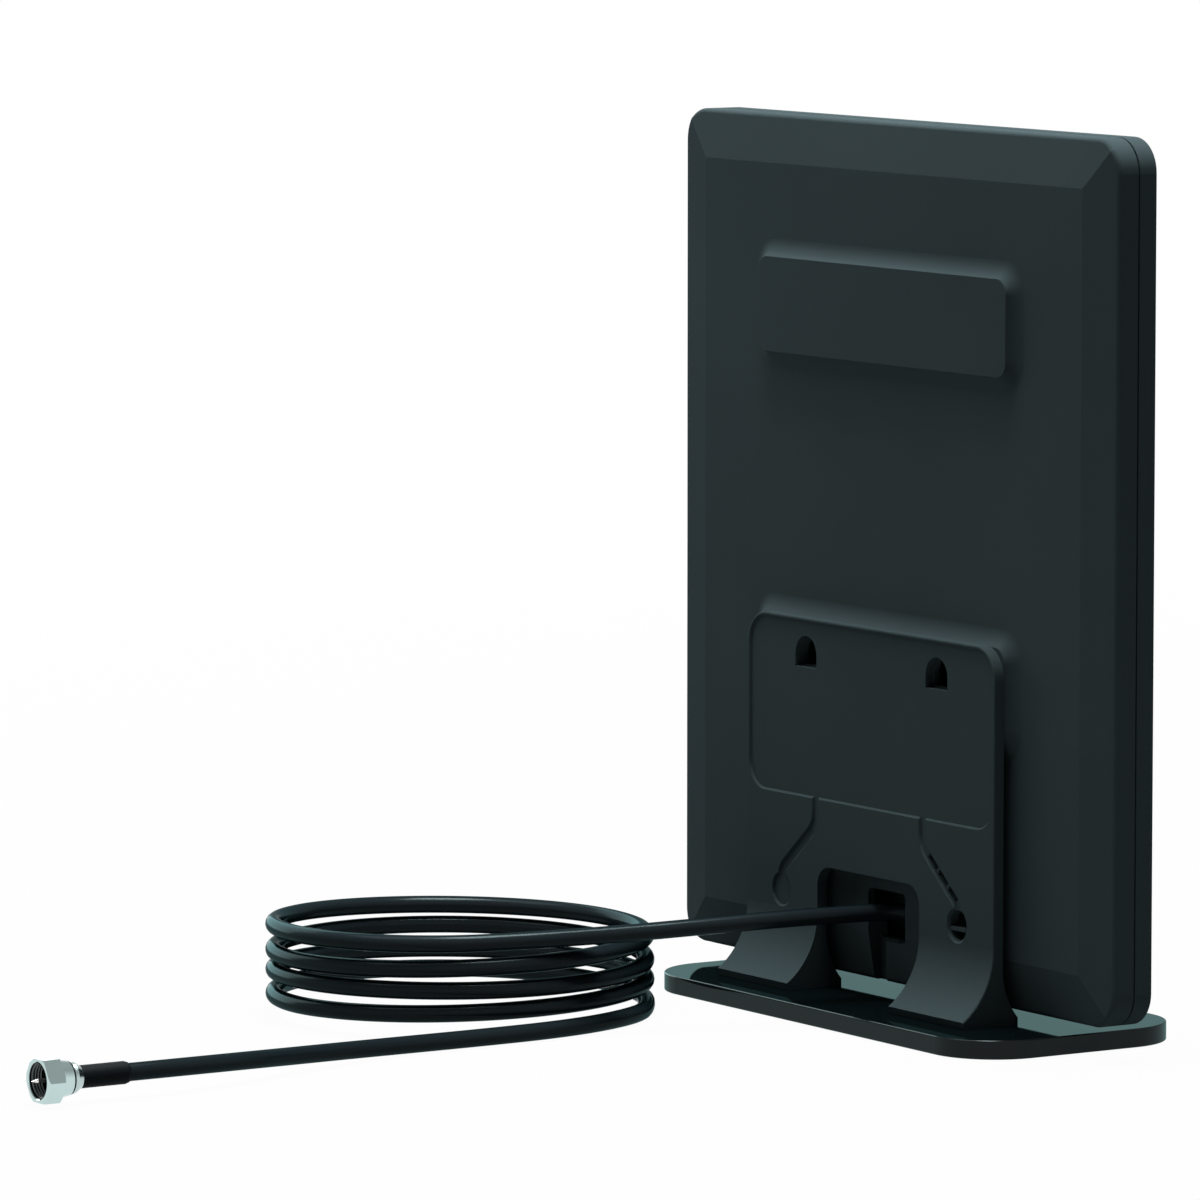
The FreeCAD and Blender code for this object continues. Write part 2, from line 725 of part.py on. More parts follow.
def add_windows(body):
    # Arched windows behind those of the bracket, each open to a hollow cored out of the pad
    middle = d.window_bottom + d.window_height / 2
    width = d.window_width + d.window_margin * 2
    height = d.window_height + d.window_margin * 2
    hollows = [rectangle(d.window_spacing / 2 * side, middle, width, height) for side in (-1, 1)]
    extrude(body, "Pocket", new_sketch(body, "XZ_Plane", -floor_plane, hollows),
            pad_plane - d.window_wall - floor_plane)
    windows = [window_outline(side, d.window_ledge) for side in (-1, 1)]
    extrude(body, "Pocket", new_sketch(body, "XZ_Plane", -pad_plane, windows), d.window_wall * 2,
            backward=True)


def on_border(edge, reach):
    # Outer edge of the chamfered border, round its corners too
    box = edge.BoundBox
    middle = edge.CenterOfMass
    beside = abs(abs(middle.x) - d.panel_width.value / 2) < reach
    above = abs(abs(middle.z - panel_middle.value) - d.panel_height.value / 2) < reach
    low = box.YMin > border_plane.value - 0.01
    return low and (beside or above) and box.YMax < border_plane.value + d.border_drop.value / 2


def pad_screw_seat():
    return pad_plane - d.boss_height - d.fit_gap - d.pad_screw_web


def add_outlet(body):
    # Square outlet in the wall, and a tapered channel from it down to the panel's lower edge
    left = d.outlet_width / 2 - d.outlet_offset
    wall = d.shell_wall
    block_width = d.channel_top_width + wall * 2
    block_height = outlet_middle - panel_bottom - wall
    block = rectangle(left + wall - block_width / 2, panel_bottom + wall + block_height / 2,
                      block_width, block_height)
    extrude(body, "Pad", new_sketch(body, "XZ_Plane", -floor_plane, [block]), d.channel_depth)
    hole = rounded_rectangle(-d.outlet_offset, outlet_middle, d.outlet_width, d.outlet_height,
                             d.outlet_corner)
    extrude(body, "Pocket", new_sketch(body, "XZ_Plane", -pad_plane, [hole]),
            d.pad_raise + d.shell_wall + d.channel_depth, backward=True)
    channel = [(left - d.channel_foot_width, panel_bottom - wall), (left, panel_bottom - wall),
               (left, outlet_middle), (left - d.channel_top_width, outlet_middle),
               (left - d.channel_top_width, d.outlet_bottom)]
    extrude(body, "Pocket", new_sketch(body, "XZ_Plane", -pad_plane, [channel]),
            d.channel_depth + d.pad_raise, backward=True)


def add_inner_bosses(body):
    posts = [(x, z, d.standoff_diameter / 2) for x, z in standoffs]
    balun_posts = [(x, z, d.standoff_diameter / 2) for x, z in balun_screws()]
    extrude(body, "Pad", new_sketch(body, "XZ_Plane", -floor_plane, circles=posts + balun_posts),
            floor_plane - board_back)
    seats = [(x, z, d.standoff_diameter / 2) for x, z in clamp_screws]
    extrude(body, "Pad", new_sketch(body, "XZ_Plane", -floor_plane, circles=seats),
            floor_plane - clamp_back())
    pilots = [(x, z, d.screw_pilot / 2) for x, z in standoffs + balun_screws()]
    extrude(body, "Pocket", new_sketch(body, "XZ_Plane", -board_back, circles=pilots), d.board_screw_length)
    clamp_pilots = [(x, z, d.screw_pilot / 2) for x, z in clamp_screws]
    extrude(body, "Pocket", new_sketch(body, "XZ_Plane", -clamp_back(), circles=clamp_pilots),
            d.clamp_screw_length)


def clamp_back():
    return d.cable_depth - cable_radius


def balun_screws():
    x = -(d.balun_start + d.balun_width - d.standoff_diameter / 2)
    reach = d.balun_height / 2 - d.standoff_diameter / 2
    return [(x, d.cable_height - reach), (x, d.cable_height + reach)]


# Front cover: plain shallow shell whose lip locates inside the rear cover
def make_front_cover():
    body = new_body("front_cover")
    middle = panel_middle
    outline = rounded_rectangle(as_size(0), middle, d.panel_width, d.panel_height, d.panel_corner)
    extrude(body, "Pad", new_sketch(body, "XZ_Plane", -seam, [outline]), d.front_depth)
    soften(body, "Fillet", "Radius", d.front_edge, lambda edge: lies_at(edge, "Y", panel_front))
    wall = d.shell_wall + d.lip_gap + d.lip_thickness
    cavity = rounded_rectangle(as_size(0), middle, d.panel_width - wall * 2, d.panel_height - wall * 2,
                               d.panel_corner - wall)
    inset = d.shell_wall + d.lip_gap
    lip = rounded_rectangle(as_size(0), middle, d.panel_width - inset * 2, d.panel_height - inset * 2,
                            d.panel_corner - inset)
    extrude(body, "Pad", new_sketch(body, "XZ_Plane", -seam, [lip]), d.lip_height, backward=True)
    extrude(body, "Pocket", new_sketch(body, "XZ_Plane", -(seam + d.lip_height), [cavity]),
            d.lip_height + d.front_depth - d.shell_wall, backward=True)
    return body


# Pieces inside the panel
def make_antenna_board():
    body = new_body("antenna_board")
    outline = rounded_rectangle(as_size(0), board_middle, board_width, board_height, d.standoff_diameter / 2)
    holes = [(x, z, d.screw_shank / 2 + d.fit_gap) for x, z in standoffs]
    extrude(body, "Pad", new_sketch(body, "XZ_Plane", -board_back, [outline], holes), d.board_thickness)
    return body


def make_balun_board():
    body = new_body("balun_board")
    x = -(d.balun_start + d.balun_width / 2)
    outline = rectangle(x, d.cable_height, d.balun_width, d.balun_height)
    holes = [(hole_x, z, d.screw_shank / 2 + d.fit_gap) for hole_x, z in balun_screws()]
    extrude(body, "Pad", new_sketch(body, "XZ_Plane", -board_back, [outline], holes), d.balun_thickness)
    return body


def can_middle():
    return -(d.balun_start + d.can_width / 2)


def make_shield_can():
    body = new_body("shield_can")
    outer = rectangle(can_middle(), d.cable_height, d.can_width, d.can_height)
    inner = rectangle(can_middle(), d.cable_height, d.can_width - d.can_wall * 2,
                      d.can_height - d.can_wall * 2)
    extrude(body, "Pad", new_sketch(body, "XZ_Plane", -board_back, [outer]), d.can_depth, backward=True)
    extrude(body, "Pocket", new_sketch(body, "XZ_Plane", -board_back, [inner]), d.can_depth - d.can_wall)
    return body


def make_balun_core():
    # Two-hole ferrite core standing on the balun board
    body = new_body("balun_core")
    outline = rectangle(can_middle(), d.cable_height, d.core_width, d.core_height)
    extrude(body, "Pad", new_sketch(body, "XZ_Plane", -board_back, [outline]), d.core_depth, backward=True)
    middle = board_back + d.core_depth / 2
    bores = [(can_middle() + d.core_width / 4 * side, middle, d.core_bore / 2) for side in (-1, 1)]
    high = d.cable_height + d.core_height
    extrude(body, "Pocket", new_sketch(body, "XY_Plane", high, circles=bores), d.core_height * 2)
    return body


def make_feed_straps():
    # Two strips from the balun board up to the antenna board
    straps = []
    low = d.cable_height + d.balun_height / 2 - d.strap_width
    high = d.board_bottom + d.strap_width
    for number, side in enumerate((-1, 1), start=1):
        x = -(d.balun_start + d.balun_width / 4) + d.strap_width * side
        straps.append(primitive("Box", f"feed_strap_{number}", (x, board_back, low),
                                Length=d.strap_width, Width=d.can_wall, Height=high - low))
    return group("feed_straps", straps)


def make_cable_clamp():
    body = new_body("cable_clamp")
    outline = rounded_rectangle(-d.clamp_place, d.cable_height, d.clamp_width, d.clamp_length,
                                d.clamp_width / 3)
    holes = [(x, z, d.screw_shank / 2 + d.fit_gap) for x, z in clamp_screws]
    extrude(body, "Pad", new_sketch(body, "XZ_Plane", -clamp_back(), [outline], holes), d.clamp_thickness)
    return body


def make_screws():
    groups = {"board_screws": [], "clamp_screws": [], "bracket_screws": [], "base_screws": []}
    for number, (x, z) in enumerate(standoffs, start=1):
        seat = (x, board_back - d.board_thickness, z)
        length = d.board_thickness + d.board_screw_length
        groups["board_screws"].append(screw(f"board_screw_{number}", seat, along_back, 1, length))
    for number, (x, z) in enumerate(balun_screws(), start=1):
        seat = (x, board_back - d.balun_thickness, z)
        length = d.balun_thickness + d.board_screw_length
        groups["board_screws"].append(screw(f"balun_screw_{number}", seat, along_back, 1, length))
    for number, (x, z) in enumerate(clamp_screws, start=1):
        seat = (x, clamp_back() - d.clamp_thickness, z)
        length = d.clamp_thickness + d.clamp_screw_length
        groups["clamp_screws"].append(screw(f"clamp_screw_{number}", seat, along_back, 1, length))
    for number, x in enumerate(boss_columns, start=1):
        seat = (x, pad_screw_seat(), d.lower_pad_height)
        length = d.pad_screw_length
        groups["bracket_screws"].append(screw(f"bracket_screw_{number}", seat, along_back, 1, length))
    for number, x in enumerate(base_screw_columns, start=1):
        seat = (x, d.base_screw_back, d.rubber_proud + d.counterbore)
        length = d.base_thickness - d.counterbore + d.base_screw_length
        groups["base_screws"].append(screw(f"base_screw_{number}", seat, None, 2, length))
    return [group(label, pieces) for label, pieces in groups.items()]


# Coaxial cable: route points chosen by hand, straight runs joined by tangent arcs
lead_route = [
    (-12.7, 3.5, 28.0), (-6.5, 3.5, 28.0), (-1.65, 7.36, 28.0), (0.97, 19.0, 28.0), (5.46, 38.8, 27.5),
    (10.55, 61.0, 26.6), (15.0, 80.0, 25.78), (18.95, 96.5, 25.02),
]
tail_route = [
    (25.6, 71.4, 2.325), (18.2, 85.2, 2.325), (14.7, 103.0, 2.325), (14.0, 124.0, 2.325),
    (12.9, 146.0, 2.55), (9.0, 169.0, 3.3), (3.6, 187.5, 4.26), (-2.5, 202.3, 5.39), (-8.1, 229.5, 6.4),
    (-8.1, 255.9, 6.4),
]
bend_share = 0.45


def cable_tube(label, route, diameter):
    points = [Vector(*point) for point in route]
    edges = []
    radii = []
    here = points[0]
    for before, corner, after in zip(points, points[1:], points[2:]):
        come = corner - before
        leave = after - corner
        turn = come.getAngle(leave)
        reach = bend_share * min(come.Length, leave.Length)
        radius = reach / math.tan(turn / 2)
        radii.append(round(radius, 1))
        come.normalize()
        leave.normalize()
        start = corner - come * reach
        end = corner + leave * reach
        bisector = (leave - come).normalize()
        middle = corner + bisector * (radius / math.cos(turn / 2) - radius)
        edges.append(Part.LineSegment(here, start).toShape())
        edges.append(Part.Arc(start, middle, end).toShape())
        here = end
    edges.append(Part.LineSegment(here, points[-1]).toShape())
    path = Part.Wire(edges)
    circle = Part.Circle(points[0], points[1] - points[0], diameter / 2)
    section = Part.Wire([circle.toShape()])
    tube = path.makePipeShell([section], True, False)
    expected = math.pi * diameter * diameter / 4 * path.Length
    if abs(tube.Volume - expected) > expected / 200:
        raise RuntimeError(f"{label} has volume {tube.Volume}, not {expected}")
    print(label, "length", round(path.Length, 1), "bend radii", radii)
    item = doc.addObject("Part::Feature", label)
    item.Label = label
    item.Shape = tube
    item.Placement = Placement(Vector(0, 0, 0), Rotation())
    return item


def make_cable_coil():
    # The coil's outer form: one ring as wide as the cable and as high as its turns
    body = new_body("cable_coil")
    inner = d.coil_radius - cable_radius
    outer = d.coil_radius + cable_radius
    high = d.coil_height
    section = [(inner + cable_radius, as_size(0), cable_radius, 1), (outer, cable_radius),
               (outer, high - cable_radius, cable_radius, 1), (outer - cable_radius, high, cable_radius, 1),
               (inner, high - cable_radius), (inner, cable_radius, cable_radius, 1)]
    revolve(body, "Revolution", new_sketch(body, "XZ_Plane", 0, [section]))
    bind(body, "Placement.Base.x", d.coil_center_x)
    bind(body, "Placement.Base.y", d.coil_center_y)
    return body


def make_cable_inner():
    start = -d.balun_start
    item = primitive("Cylinder", "cable_inner", (start, d.cable_depth, d.cable_height), along_x,
                     Radius=cable_radius, Height=lead_route[0][0] - start.value)
    bind(item, "Height", d.balun_start + lead_route[0][0])
    return item


# Connector, turned about one axis that lies along +Y
body_start = d.sleeve_start + d.sleeve_length
nut_start = body_start + d.collar_length + d.end_play
nut_end = nut_start + d.nut_length


def set_on_axis(body, start):
    # The body's own +Z becomes the connector axis
    body.Placement = Placement(Vector(0, 0, 0), along_back)
    bind(body, "Placement.Base.x", d.connector_x)
    bind(body, "Placement.Base.y", start)
    bind(body, "Placement.Base.z", d.connector_z)
    return body


def turned(label, start, profile):
    body = new_body(label)
    revolve(body, "Revolution", new_sketch(body, "XZ_Plane", 0, [profile]))
    return set_on_axis(body, start)


def make_cable_sleeve():
    bore = cable_radius + d.sleeve_gap
    outer = d.sleeve_diameter / 2
    profile = [(bore, as_size(0)), (outer - d.sleeve_taper_depth, as_size(0)), (outer, d.sleeve_taper),
               (outer, d.sleeve_length), (bore, d.sleeve_length)]
    return turned("cable_sleeve", d.sleeve_start, profile)


def make_connector_body():
    # Collar behind the nut, neck that the nut's lip turns on, flange in front of the lip
    collar = d.collar_diameter / 2
    neck = d.neck_diameter / 2
    flange = d.post_flange / 2
    lip_end = d.collar_length + d.nut_lip + d.end_play * 2
    end = lip_end + d.post_flange_length
    pin = d.pin_diameter / 2
    profile = [(pin, as_size(0)), (d.collar_rear / 2, as_size(0)), (collar, d.collar_taper),
               (collar, d.collar_length), (neck, d.collar_length), (neck, lip_end), (flange, lip_end),
               (flange, end), (pin, end)]
    return turned("connector_body", body_start, profile)


def make_center_pin():
    # Bare core of the cable, cut to a point that stands a little out of the nut's mouth
    pin = d.pin_diameter / 2
    length = nut_end + d.pin_proud - body_start
    profile = [(as_size(0), as_size(0)), (pin, as_size(0)), (pin, length - d.pin_tip), (as_size(0), length)]
    return turned("center_pin", body_start, profile)


def make_coupling_nut():
    body = new_body("coupling_nut")
    corner = nut_corner
    flat = d.nut_flats / 2
    half = corner / 2
    hexagon = [(corner, as_size(0)), (half, flat), (-half, flat), (-corner, as_size(0)), (-half, -flat),
               (half, -flat)]
    extrude(body, "Pad", new_sketch(body, "XY_Plane", 0, [hexagon]), d.nut_length)
    bore = d.nut_bore / 2
    neck = d.neck_diameter / 2 + d.neck_play
    tip = d.nut_mouth_chamfer
    chamber = d.nut_chamber / 2
    hole = [(as_size(0), as_size(0)), (neck, as_size(0)), (neck, d.nut_lip), (chamber, d.nut_lip),
            (chamber, d.nut_round + tip), (bore, d.nut_round + tip), (bore, d.nut_length - tip),
            (bore + tip, d.nut_length), (as_size(0), d.nut_length)]
    revolve(body, "Groove", new_sketch(body, "XZ_Plane", 0, [hole]))
    slope = d.nut_chamfer / math.tan(math.radians(30))
    edge = corner - slope
    away = corner + slope
    rear = [(d.nut_round_rear / 2, as_size(0)), (d.nut_round_front / 2, d.nut_round), (edge, d.nut_round),
            (away, d.nut_round + d.nut_chamfer * 2), (away, as_size(0))]
    front = [(edge, d.nut_length), (away, d.nut_length - d.nut_chamfer * 2), (away, d.nut_length)]
    revolve(body, "Groove", new_sketch(body, "XZ_Plane", 0, [rear]))
    revolve(body, "Groove", new_sketch(body, "XZ_Plane", 0, [front]))
    return set_on_axis(body, nut_start)


nodes = [make_base_plate(), make_rubber_feet(), make_stand_bracket(), make_rear_cover(), make_front_cover(),
         make_antenna_board(), make_balun_board(), make_shield_can(), make_balun_core(), make_feed_straps(),
         make_cable_clamp()]
nodes += make_screws()
nodes += [make_cable_inner(), cable_tube("cable_lead", lead_route, d.cable_diameter.value), make_cable_coil(),
          cable_tube("cable_tail", tail_route, d.cable_diameter.value), make_cable_sleeve(),
          make_connector_body(), make_center_pin(), make_coupling_nut()]
doc.recompute()

for item in doc.Objects:
    if "Invalid" in item.State or "Error" in item.State:
        raise RuntimeError(f"{item.Name} failed: {item.State}")
for node in nodes:
    if node.Shape.isNull() or not node.Shape.isValid():
        raise RuntimeError(f"{node.Label} has no valid shape")

os.makedirs("parts", exist_ok=True)
for node in nodes:
    node.Shape.exportStep(f"parts/{node.Label}.step")
    print(node.Label, "solids", len(node.Shape.Solids), "volume", round(node.Shape.Volume, 1))
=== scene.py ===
import bpy
import math
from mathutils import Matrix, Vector


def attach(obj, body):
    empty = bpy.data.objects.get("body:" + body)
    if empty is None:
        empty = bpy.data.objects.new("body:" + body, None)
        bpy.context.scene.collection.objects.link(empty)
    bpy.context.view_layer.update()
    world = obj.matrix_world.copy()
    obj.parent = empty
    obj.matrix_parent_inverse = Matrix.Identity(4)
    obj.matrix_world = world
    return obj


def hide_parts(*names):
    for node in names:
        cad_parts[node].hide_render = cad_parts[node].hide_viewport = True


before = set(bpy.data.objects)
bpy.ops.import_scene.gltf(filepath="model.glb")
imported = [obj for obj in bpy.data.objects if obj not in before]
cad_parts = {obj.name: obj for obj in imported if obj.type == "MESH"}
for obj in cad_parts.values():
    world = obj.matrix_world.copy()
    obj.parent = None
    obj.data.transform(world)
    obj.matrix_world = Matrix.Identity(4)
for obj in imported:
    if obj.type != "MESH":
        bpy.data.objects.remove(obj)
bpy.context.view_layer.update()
scene = bpy.context.scene
scene.view_settings.view_transform = "Standard"
print("frame loaded:", len(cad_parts), "nodes")

# The scene is in metres; the pieces below are given in millimetres unless a note says otherwise
mm = 0.001


def linked(name, data):
    piece = bpy.data.objects.new(name, data)
    scene.collection.objects.link(piece)
    return piece


# Camera, fitted to the straight edges of the panel and the base: its place and clipping in metres, its
# angles in degrees
cameraLook = {
    "place": (-1.87861, 1.29462, 0.35086),
    "yaw": 57.49,
    "pitch": 6.03,
    "lens": 261.49,
    "sensor": 36.0,
    "clipStart": 0.05,
    "clipEnd": 200.0,
}


def addCamera(look):
    data = bpy.data.cameras.new("photoCamera")
    data.lens = look["lens"]
    data.sensor_width = look["sensor"]
    data.clip_start = look["clipStart"]
    data.clip_end = look["clipEnd"]
    camera = linked("photoCamera", data)
    yaw = math.radians(look["yaw"])
    pitch = math.radians(look["pitch"])
    level = math.cos(pitch)
    ahead = Vector((math.sin(yaw) * level, -math.cos(yaw) * level, -math.sin(pitch)))
    camera.location = look["place"]
    camera.rotation_euler = ahead.to_track_quat("-Z", "Y").to_euler()
    scene.camera = camera


addCamera(cameraLook)
print("camera placed")


# Coaxial cable: lead out of the panel, wound down into the coil, then a tail along the table.
# Exit and length are in metres, the coil's start, end and facing in degrees.
cable = {
    "diameter": 4.65,
    "length": 1.5,
    "exit": (-0.0015, 0.0081, 0.028),
    "lead": [(-12.7, 3.5, 28.0), (-6.5, 3.5, 28.0), (-1.65, 7.36, 28.0), (0.97, 19.0, 28.0),
             (5.46, 38.8, 27.5), (10.55, 61.0, 26.6), (15.0, 80.0, 25.78)],
    "coilCentre": (69.46, 97.07),
    "coilRadius": 49.25,
    "coilFacing": 57.49,
    "coilStart": -19.6,
    "coilEnd": 1350.0,
    "coilSteps": 61,
    "coilTop": 24.35,
    "coilPitch": 5.87,
    "coilLift": 0.55,  # how far the first turn rises off the one below it
    "sway": 0.4,  # loose turns rise and fall by this much
    "swayBeat": 1.5,  # times in each turn
    "swayIn": 6,  # steps in which the sway grows
    "swayOut": 9,  # steps in which it dies away
    "tail": [(34.4, 60.7, 2.33), (25.6, 69.0, 2.325), (18.2, 85.2, 2.325), (14.7, 103.0, 2.325),
             (14.0, 124.0, 2.325), (12.9, 146.0, 2.55), (9.0, 169.0, 3.3), (3.6, 187.5, 4.26),
             (-2.5, 202.3, 5.39), (-8.1, 229.5, 6.4), (-8.1, 241.5, 6.4), (-8.1, 255.9, 6.4)],
    "curveOrder": 3,
    "stepsAlong": 8,
    "stepsAround": 6,
}


def coilPoints(look):
    facing = math.radians(look["coilFacing"])
    right = Vector((-math.cos(facing), -math.sin(facing), 0))
    front = Vector((-math.sin(facing), math.cos(facing), 0))
    centre = Vector((*look["coilCentre"], 0))
    steps = look["coilSteps"]
    step = (look["coilEnd"] - look["coilStart"]) / steps
    radius = look["coilRadius"] / math.cos(math.radians(step / 2))
    points = []
    for number in range(steps):
        turn = look["coilStart"] + step * (number + 0.5)
        angle = math.radians(turn)
        place = centre - right * radius * math.sin(angle) + front * radius * math.cos(angle)
        share = min(1.0, number / look["swayIn"], (steps - 1 - number) / look["swayOut"])
        sway = look["sway"] * share * math.sin(look["swayBeat"] * angle)
        lift = look["coilLift"] * max(0.0, 1 - max(turn, 0) / 360)
        height = look["coilTop"] - look["coilPitch"] * turn / 360 + sway + lift
        place.z = max(height, look["diameter"] / 2)
        points.append(place)
    return points


def addCable(look):
    curve = bpy.data.curves.new("coaxCable", "CURVE")
    curve.dimensions = "3D"
    curve.bevel_depth = 1.0  # scaled by the radius of each point
    curve.bevel_resolution = look["stepsAround"]
    curve.resolution_u = look["stepsAlong"]
    curve.use_fill_caps = True
    spline = curve.splines.new("NURBS")
    points = [Vector(point) for point in look["lead"]] + coilPoints(look)
    points += [Vector(point) for point in look["tail"]]
    spline.points.add(len(points) - 1)
    for target, point in zip(spline.points, points):
        target.co = (*(point * mm), 1)
        target.radius = look["diameter"] / 2 * mm
    spline.order_u = look["curveOrder"]
    spline.use_endpoint_u = True
    cord = linked("coaxCable", curve)
    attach(cord, "antenna")
    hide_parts("cable_lead", "cable_coil", "cable_tail")
    return cord


cord = addCable(cable)
print("cable laid")


# The connector lies along +Y: x and z of its axis
connectorAxis = (-8.1, 6.4)


def aroundAxis(angle, reach, along):
    acrossX, acrossZ = connectorAxis
    return Vector((acrossX + reach * math.cos(angle), along, acrossZ + reach * math.sin(angle)))


def sweptMesh(name, sections, closed):
    # Quads from each section to the next; an open sweep gets a cap at either end
    count = len(sections)
    sides = len(sections[0])
    faces = []
    for number in range(count if closed else count - 1):
        here = number * sides
        there = (number + 1) % count * sides
        for side in range(sides):
            after = (side + 1) % sides
            faces.append((here + side, there + side, there + after, here + after))
    if not closed:
        last = (count - 1) * sides
        faces.append(tuple(range(sides)))
        faces.append(tuple(reversed(range(last, last + sides))))
    mesh = bpy.data.meshes.new(name)
    mesh.from_pydata([spot * mm for section in sections for spot in section], [], faces)
    return mesh


# Thread inside the coupling nut: one ridge wound along the bore, run out at both ends.
# Its profile gives the level and the share of the pitch of each corner.
nutThread = {
    "start": 263.1,
    "pitch": 0.79,
    "turns": 4.5,
    "steps": 40,
    "wall": 4.5,
    "crest": 4.12,
    "runOut": 0.3,  # turns in which the ridge reaches its height
    "leastHeight": 0.1,  # share of the height left at the ends
    "profile": (("wall", -0.5), ("crest", -0.08), ("crest", 0.08), ("wall", 0.5)),
}


def addThread(look):
    count = round(look["turns"] * look["steps"])
    fade = look["runOut"] * look["steps"]
    sections = []
    for number in range(count + 1):
        turn = number / look["steps"]
        along = look["start"] + look["pitch"] * turn
        share = max(look["leastHeight"], min(1.0, number / fade, (count - number) / fade))
        reach = {"wall": look["wall"], "crest": look["wall"] + (look["crest"] - look["wall"]) * share}
        sections.append([aroundAxis(2 * math.pi * turn, reach[level], along + look["pitch"] * shift)
                         for level, shift in look["profile"]])
    thread = linked("nutThread", sweptMesh("nutThread", sections, closed=False))
    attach(thread, "nut")
    return thread


thread = addThread(nutThread)
print("nut threaded")


# Dark rubber ring in the gap between the collar and the back of the nut: a seal, and a dark piece that
# stands in for the painted shade of that groove
sealAndShadeRing = {"along": 258.74, "radius": 4.06, "thickness": 0.4, "stepsAround": 64, "stepsAcross": 12}


def addRing(look):
    half = look["thickness"] / 2
    sections = []
    for number in range(look["stepsAround"]):
        angle = 2 * math.pi * number / look["stepsAround"]
        leans = [-2 * math.pi * side / look["stepsAcross"] for side in range(look["stepsAcross"])]
        sections.append([aroundAxis(angle, look["radius"] + half * math.cos(lean),
                                    look["along"] + half * math.sin(lean)) for lean in leans])
    mesh = sweptMesh("sealAndShadeRing", sections, closed=True)
    mesh.shade_smooth()
    ring = linked("sealAndShadeRing", mesh)
    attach(ring, "antenna")
    return ring


ring = addRing(sealAndShadeRing)
print("ring fitted")


# Small helpers for shader nodes
def stretchRange(nodes, links, value, low, high, start=0.3, stop=0.7):
    remap = nodes.new("ShaderNodeMapRange")
    remap.inputs["From Min"].default_value = start
    remap.inputs["From Max"].default_value = stop
    remap.inputs["To Min"].default_value = low
    remap.inputs["To Max"].default_value = high
    links.new(value, remap.inputs["Value"])
    return remap.outputs["Result"]


def combine(nodes, links, operation, first, second):
    node = nodes.new("ShaderNodeMath")
    node.operation = operation
    links.new(first, node.inputs[0])
    links.new(second, node.inputs[1])
    return node.outputs["Value"]


def vectorMath(nodes, links, operation, vector, constant=(0, 0, 0)):
    node = nodes.new("ShaderNodeVectorMath")
    node.operation = operation
    node.inputs[1].default_value = constant
    links.new(vector, node.inputs[0])
    return node.outputs


# Places of a Mix node's factor, first, second and result among its sockets
mixSockets = {"FLOAT": (0, 2, 3, 0), "RGBA": (0, 6, 7, 2)}


def mixNode(nodes, kind):
    mix = nodes.new("ShaderNodeMix")
    mix.data_type = kind
    factor, first, second, result = mixSockets[kind]
    return mix.inputs[factor], mix.inputs[first], mix.inputs[second], mix.outputs[result]


def bumpFrom(nodes, links, height, distance, strength, shader):
    bump = nodes.new("ShaderNodeBump")
    bump.inputs["Distance"].default_value = distance
    bump.inputs["Strength"].default_value = strength
    links.new(height, bump.inputs["Height"])
    links.new(bump.outputs["Normal"], shader.inputs["Normal"])


# Shader groups shared by several finishes
def newGroup(name, inputs, outputs):
    group = bpy.data.node_groups.new(name, "ShaderNodeTree")
    for label in inputs:
        group.interface.new_socket(label, in_out="INPUT", socket_type="NodeSocketFloat")
    for label in outputs:
        group.interface.new_socket(label, in_out="OUTPUT", socket_type="NodeSocketFloat")
    return group, group.nodes.new("NodeGroupInput"), group.nodes.new("NodeGroupOutput")


def setValues(node, values):
    for label, value in values.items():
        node.inputs[label].default_value = value


def addNoise(group, look, place, scale, result):
    noise = group.nodes.new("ShaderNodeTexNoise")
    setValues(noise, look)
    group.links.new(place, noise.inputs["Vector"])
    group.links.new(scale, noise.inputs["Scale"])
    group.links.new(noise.outputs["Fac"], result)


# Fine spark-eroded grain and a slow drift of tone over a moulding
mouldedGrain = {"grain": {"Detail": 3.0, "Roughness": 0.6}, "drift": {"Detail": 2.0}}


def mouldedGrainGroup(look):
    group, start, end = newGroup("mouldedGrain", ("Grain Scale", "Drift Scale"), ("Grain", "Drift"))
    place = group.nodes.new("ShaderNodeTexCoord").outputs["Object"]
    addNoise(group, look["grain"], place, start.outputs["Grain Scale"], end.inputs["Grain"])
    addNoise(group, look["drift"], place, start.outputs["Drift Scale"], end.inputs["Drift"])
    return group


# Handling marks: soft cloudy patches and short hairlines
handlingMarks = {
    "patch": {"Detail": 5.0, "Distortion": 0.4},
    "hairline": {"Detail": 2.0},
    "stretch": {"Scale": (0.08, 1.0, 1.0), "Rotation": (0.3, 0.2, 0.5)},
}


def handlingMarksGroup(look):
    group, start, end = newGroup("handlingMarks", ("Patch Scale", "Line Scale"), ("Patches", "Hairlines"))
    place = group.nodes.new("ShaderNodeTexCoord").outputs["Object"]
    addNoise(group, look["patch"], place, start.outputs["Patch Scale"], end.inputs["Patches"])
    stretch = group.nodes.new("ShaderNodeMapping")
    setValues(stretch, look["stretch"])
    group.links.new(place, stretch.inputs["Vector"])
    drawn = stretch.outputs["Vector"]
    addNoise(group, look["hairline"], drawn, start.outputs["Line Scale"], end.inputs["Hairlines"])
    return group


grainGroup = mouldedGrainGroup(mouldedGrain)
marksGroup = handlingMarksGroup(handlingMarks)
print("shader groups made")


def newMaterial(name):
    material = bpy.data.materials.new(name)
    material.use_nodes = True
    shader = material.node_tree.nodes["Principled BSDF"]
    return material, material.node_tree.nodes, material.node_tree.links, shader


def placeGroup(nodes, group, values):
    node = nodes.new("ShaderNodeGroup")
    node.node_tree = group
    setValues(node, values)
    return node


def paintBetween(nodes, links, factor, look, shader):
    # The finish's own colour drifts between its dark and its light tone
    share, dark, light, colour = mixNode(nodes, "RGBA")
    dark.default_value = (*look["dark"], 1)
    light.default_value = (*look["light"], 1)
    links.new(factor, share)
    links.new(colour, shader.inputs["Base Color"])


